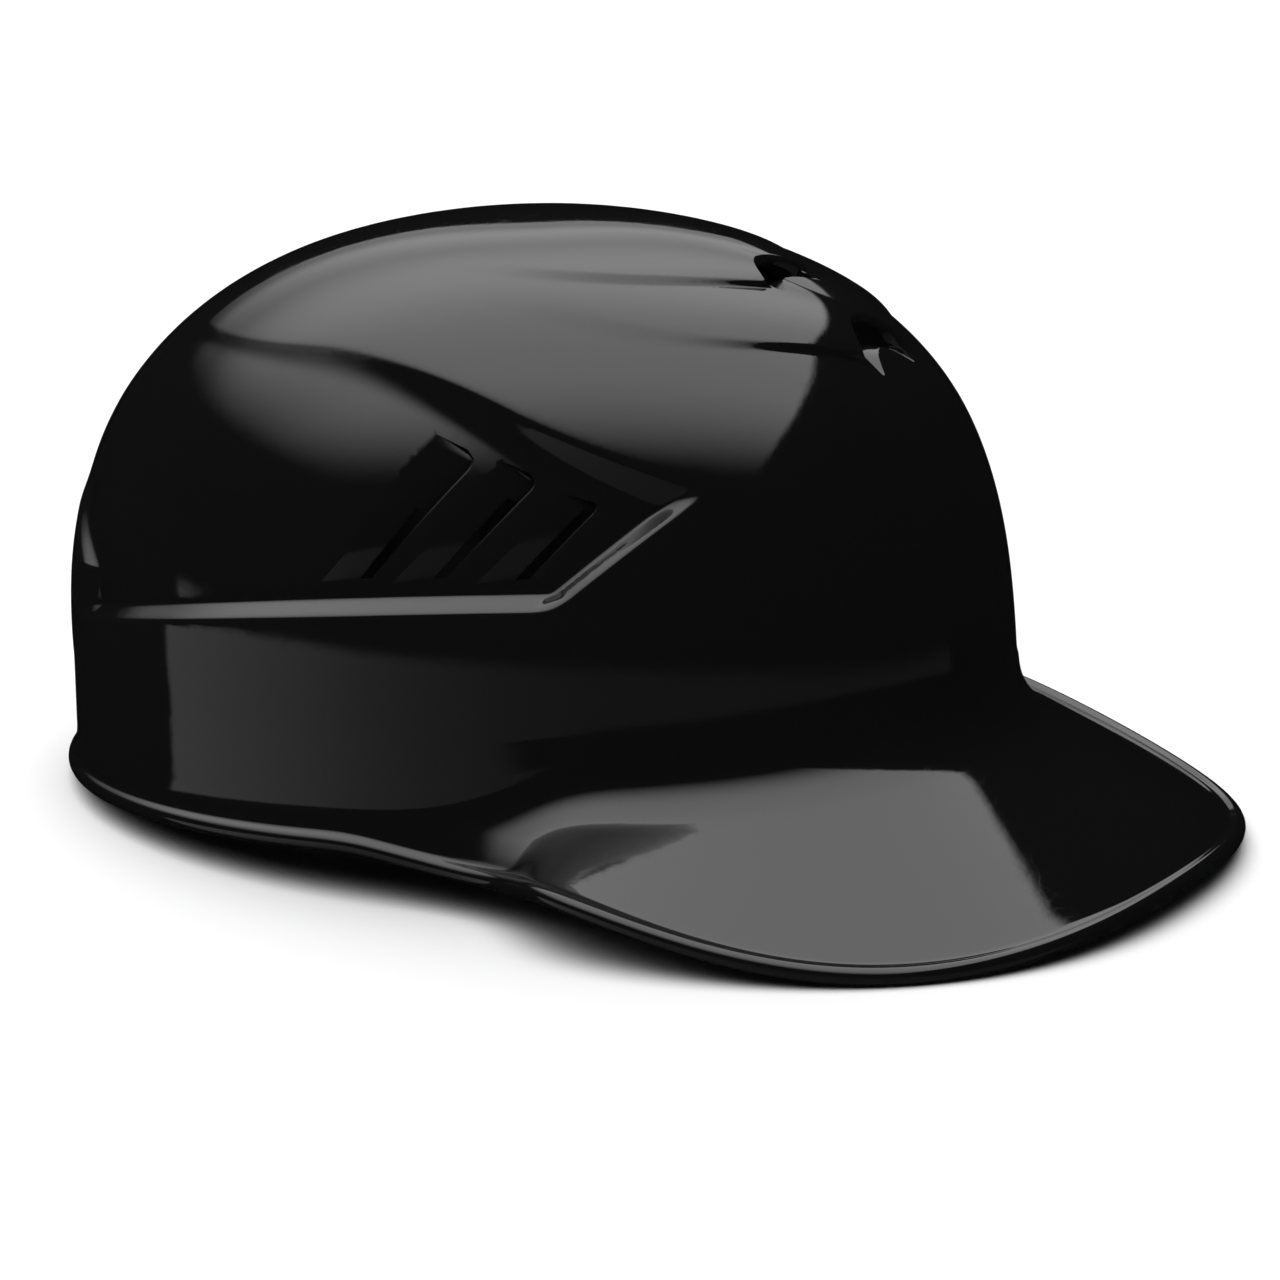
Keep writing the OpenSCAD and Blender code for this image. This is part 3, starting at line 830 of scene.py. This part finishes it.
class Cushion:
    """A fabric pad: a flat backing sewn at its rim to a front that is pinched along
    its channels and swells between them."""

    def __init__(self, name):
        self.name = name
        self.point, thickness = pad_layers(name, True)
        nx, ny = PLACES[name][2]
        if name == "crown":
            nx, ny = 20, 20
        self.x, self.y = np.meshgrid(np.linspace(-1, 1, nx + 1), np.linspace(-1, 1, ny + 1),
                                     indexing="ij")
        self.base = thickness(self.x, self.y) + DISC_GAP
        e = from_edge(self.point, self.x, self.y)
        rise = np.sqrt(1 - np.clip(1 - e / 6.0, 0, 1) ** 2)
        front = SEAM_DEPTH + (START_T - SEAM_DEPTH) * rise
        self.channels = []
        for along, lines in ((0, PLACES[name][3]), (1, PLACES[name][4])):
            for line in lines:
                grid = self.x if along == 0 else self.y
                k = int(np.argmin(np.abs((grid[:, 0] if along == 0 else grid[0]) - line)))
                self.channels.append((along, k))
                mid = self.point(self.x, self.y, self.base)
                on = mid[k][None] if along == 0 else mid[:, k][:, None]
                near = np.linalg.norm(mid - on, axis=-1)
                pinch = ease(near / CHANNEL_W)
                front = np.minimum(front, mix(np.minimum(front, PINCH_T), front, pinch))
        back = np.where(e < 0.01, SEAM_DEPTH, BACK_DEPTH + (SEAM_DEPTH - BACK_DEPTH)
                        * np.clip(1 - e / 4.0, 0, 1) ** 2)
        self.front = front
        n = self.x.size
        nx, ny = self.x.shape
        grid = np.arange(n).reshape(nx, ny)
        rim_mask = np.zeros((nx, ny), bool)
        rim_mask[0] = rim_mask[-1] = True
        rim_mask[:, 0] = rim_mask[:, -1] = True
        over = grid + n
        over[rim_mask] = grid[rim_mask]
        keep = np.concatenate([np.arange(n), over[~rim_mask]])
        index = np.full(2 * n, -1)
        index[keep] = np.arange(len(keep))
        self.over = index[over]
        points = np.concatenate([
            self.point(self.x, self.y, self.base + back).reshape(-1, 3),
            self.point(self.x, self.y, self.base + front).reshape(-1, 3)])[keep]
        quads = np.array(grid_faces(nx, ny))
        faces = quads.tolist() + [list(map(int, index[over.reshape(-1)[q]][::-1]))
                                  for q in quads]
        self.pinned = np.ones(len(points))
        free = ~rim_mask
        for along, k in self.channels:
            if along == 0:
                free[k] = False
            else:
                free[:, k] = False
        self.pinned[self.over[free]] = 0.0
        self.obj = make_mesh("pad_cover_" + name, points, outward(points, faces), (KNIT,),
                             sharp=70)
        self.start = np.array([v.co for v in self.obj.data.vertices])

    def set_cloth(self):
        group = self.obj.vertex_groups.new(name="sewn")
        for i in np.flatnonzero(self.pinned):
            group.add([int(i)], 1.0, "REPLACE")
        modifier = self.obj.modifiers.new("Cloth", "CLOTH")
        s = modifier.settings
        s.quality, s.mass = 5, 0.3
        s.tension_stiffness = s.compression_stiffness = 10
        s.shear_stiffness, s.bending_stiffness = 5, 0.4
        s.use_pressure, s.uniform_pressure_force = True, PRESSURE
        s.vertex_group_mass = "sewn"
        s.effector_weights.gravity = 0
        modifier.collision_settings.use_collision = False
        modifier.collision_settings.use_self_collision = False

    def moved(self):
        """Where the cloth has come to, with no point further than the cap."""
        done = self.obj.evaluated_get(bpy.context.evaluated_depsgraph_get()).to_mesh()
        now = np.array([v.co for v in done.vertices])
        return self.capped(now - self.start)

    def capped(self, shift):
        far = np.linalg.norm(shift, axis=1, keepdims=True)
        cap = SWELL_CAP * MM
        share = np.where(far > 1e-9, cap * np.tanh(far / cap) / np.maximum(far, 1e-9), 0)
        return self.start + shift * share

    def settle(self, at):
        self.obj.modifiers.clear()
        self.obj.vertex_groups.clear()
        self.obj.data.vertices.foreach_set("co", at.reshape(-1))
        self.obj.data.update()
        divide = self.obj.modifiers.new("smooth", "SUBSURF")
        divide.levels = divide.render_levels = 1
        mesh = bpy.data.meshes.new_from_object(
            self.obj.evaluated_get(bpy.context.evaluated_depsgraph_get()))
        self.obj.modifiers.clear()
        old, self.obj.data = self.obj.data, mesh
        bpy.data.meshes.remove(old)
        self.obj.data.shade_smooth()
        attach(self.obj, "root")
        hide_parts("pad_" + self.name)

    def line(self, along, k, lift, steps=160):
        """Points along a channel, from edge to edge, that far off its surface."""
        grid = np.stack([self.x, self.y, self.front + self.base], -1)
        path = grid[k] if along == 0 else grid[:, k]
        t = np.linspace(0.03, 0.97, steps) * (len(path) - 1)
        x, y, deep = (np.interp(t, np.arange(len(path)), path[:, c]) for c in range(3))
        return self.point(x, y, deep + lift)

    def sew(self):
        """The binding round the rim and the stitches along the channels."""
        k = self.x.shape
        ring = ([(i, 0) for i in range(k[0] - 1)] + [(k[0] - 1, j) for j in range(k[1] - 1)]
                + [(i, k[1] - 1) for i in range(k[0] - 1, 0, -1)]
                + [(0, j) for j in range(k[1] - 1, 0, -1)])
        i, j = np.array(ring).T
        path = self.point(self.x[i, j], self.y[i, j], self.base[i, j] + SEAM_DEPTH)
        for _ in range(3):
            path = (np.roll(path, 1, 0) + 2 * path + np.roll(path, -1, 0)) / 4
        tape = make_mesh("pad_binding_" + self.name, *tube(path, BINDING_R, 10), (TAPE,))
        stitches = []
        for along, n in self.channels:
            path = self.line(along, n, STITCH_LIFT)
            steps = np.linalg.norm(np.diff(path, axis=0), axis=1)
            run = np.concatenate([[0], np.cumsum(steps)])
            for s in np.arange(1.0, run[-1] - 2.6, STITCH_PITCH):
                at = np.array([np.interp(s + STITCH, run, path[:, c]) for c in range(3)]).T
                stitches.append(tube(at, THREAD_R, 6, closed=False))
        sewn = make_mesh("pad_stitches_" + self.name, *joined(stitches), (THREAD,), sharp=60)
        for piece in (tape, sewn):
            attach(piece, "root")


for name in PLACES:
    make_foam(name)
cushions = [Cushion(name) for name in PLACES]
for c in cushions:
    c.set_cloth()
for step in range(1, SIM_FRAMES + 1):
    bpy.context.scene.frame_set(step)
places = [c.moved() for c in cushions]
for c, at in zip(cushions, places):
    c.settle(at)
    c.sew()
bpy.context.scene.frame_set(1)
for name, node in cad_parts.items():
    if name.startswith("disc_"):
        node.material_slots[0].material = HOOKS

# --- stage ---------------------------------------------------------------------------

# The photograph's viewing direction
VIEW_AZIMUTH, LENS = 31.289, 164.16
CAMERA_AT, CAMERA_AIM = (0.693, -1.178, 0.4485), (-0.0085, 0.0183, 0.0370)
SCREEN_RIGHT = (cosd(VIEW_AZIMUTH), sind(VIEW_AZIMUTH), 0.0)
SCREEN_NEAR = (sind(VIEW_AZIMUTH), -cosd(VIEW_AZIMUTH), 0.0)


def make_world():
    """A studio as a world: a wide soft canopy overhead that runs down behind the
    helmet, and a paler patch low on one side. The camera sees plain pale grey."""
    w = Nodes("studio", "world")
    d = w.add("TexCoord").outputs["Generated"]

    def along(axis):
        node = w.add("VectorMath", {"operation": "DOT_PRODUCT"})
        w.put(node, "0", d)
        node.inputs[1].default_value = axis
        return node.outputs["Value"]

    up = along((0, 0, 1))
    high = w.math("MAXIMUM", up, 0.02)
    right = w.math("DIVIDE", along(SCREEN_RIGHT), high)
    near = w.math("DIVIDE", along(SCREEN_NEAR), high)
    canopy = w.math("MULTIPLY", w.between(right, 0.49, 0.54, 1.0, 0.0),
                    w.between(right, -2.6, -0.3))
    canopy = w.math("MULTIPLY", canopy, w.between(near, 0.2, 1.5, 1.0, 0.0))
    back = w.math("ADD", w.math("ADD", w.between(near, -5.2, -4.7, 0.0, 0.2),
                                w.between(near, -4.0, -2.6, 0.0, 0.2)),
                  w.between(near, -1.9, -0.5, 0.0, 0.6))
    canopy = w.math("MULTIPLY", w.math("MULTIPLY", canopy, back), 2.7)
    canopy = w.math("MULTIPLY", canopy, w.between(up, 0.02, 0.06))
    flat_right, flat_near = along(SCREEN_RIGHT), along(SCREEN_NEAR)
    left = w.math("MAXIMUM", w.math("MULTIPLY", flat_right, -1.0), 0.0)
    patch = w.math("ADD", w.math("MULTIPLY", w.math("POWER", left, 3.0), 0.5), 0.08)
    patch = w.math("MULTIPLY", patch, w.between(up, -0.17, -0.13, 1.0, 0.0))
    side = w.math("ADD", w.math("MULTIPLY", flat_near, 0.985),
                  w.math("MULTIPLY", flat_right, -0.174))
    patch = w.math("MULTIPLY", patch, w.between(side, -0.02, 0.02))
    light = w.math("ADD", w.math("ADD", canopy, patch), 0.004)
    seen = w.add("Background", Color=grey(1.0), Strength=light)
    plain = w.add("Background", Color=grey(1.0), Strength=0.93)
    pick = w.add("MixShader")
    w.put(pick, "0", w.add("LightPath").outputs["Is Camera Ray"])
    w.tree.links.new(seen.outputs[0], pick.inputs[1])
    w.tree.links.new(plain.outputs[0], pick.inputs[2])
    out = w.add("OutputWorld")
    w.tree.links.new(pick.outputs[0], out.inputs[0])
    bpy.context.scene.world = w.block


def make_floor():
    half = 12.0
    mesh = bpy.data.meshes.new("floor")
    mesh.from_pydata([(-half, -half, 0), (half, -half, 0), (half, half, 0),
                      (-half, half, 0)], [], [(0, 1, 2, 3)])
    m = Nodes("floor_paper")
    grain = m.noise(m.place(), 60.0, 4.0)
    mesh.materials.append(m.surface(Base_Color=grey(0.86), Roughness=0.9,
                                    Specular_IOR_Level=0.0,
                                    Normal=m.bump(grain, 0.02, 0.001)))
    floor = bpy.data.objects.new("floor", mesh)
    bpy.context.scene.collection.objects.link(floor)
    floor.visible_glossy = False


def make_camera():
    data = bpy.data.cameras.new("camera")
    data.lens, data.sensor_width = LENS, 36.0
    camera = bpy.data.objects.new("camera", data)
    camera.location = CAMERA_AT
    aim = Vector(CAMERA_AIM) - camera.location
    camera.rotation_euler = aim.to_track_quat("-Z", "Y").to_euler()
    bpy.context.scene.collection.objects.link(camera)
    bpy.context.scene.camera = camera


make_world()
make_floor()
make_camera()
bpy.context.scene.view_settings.view_transform = "Standard"
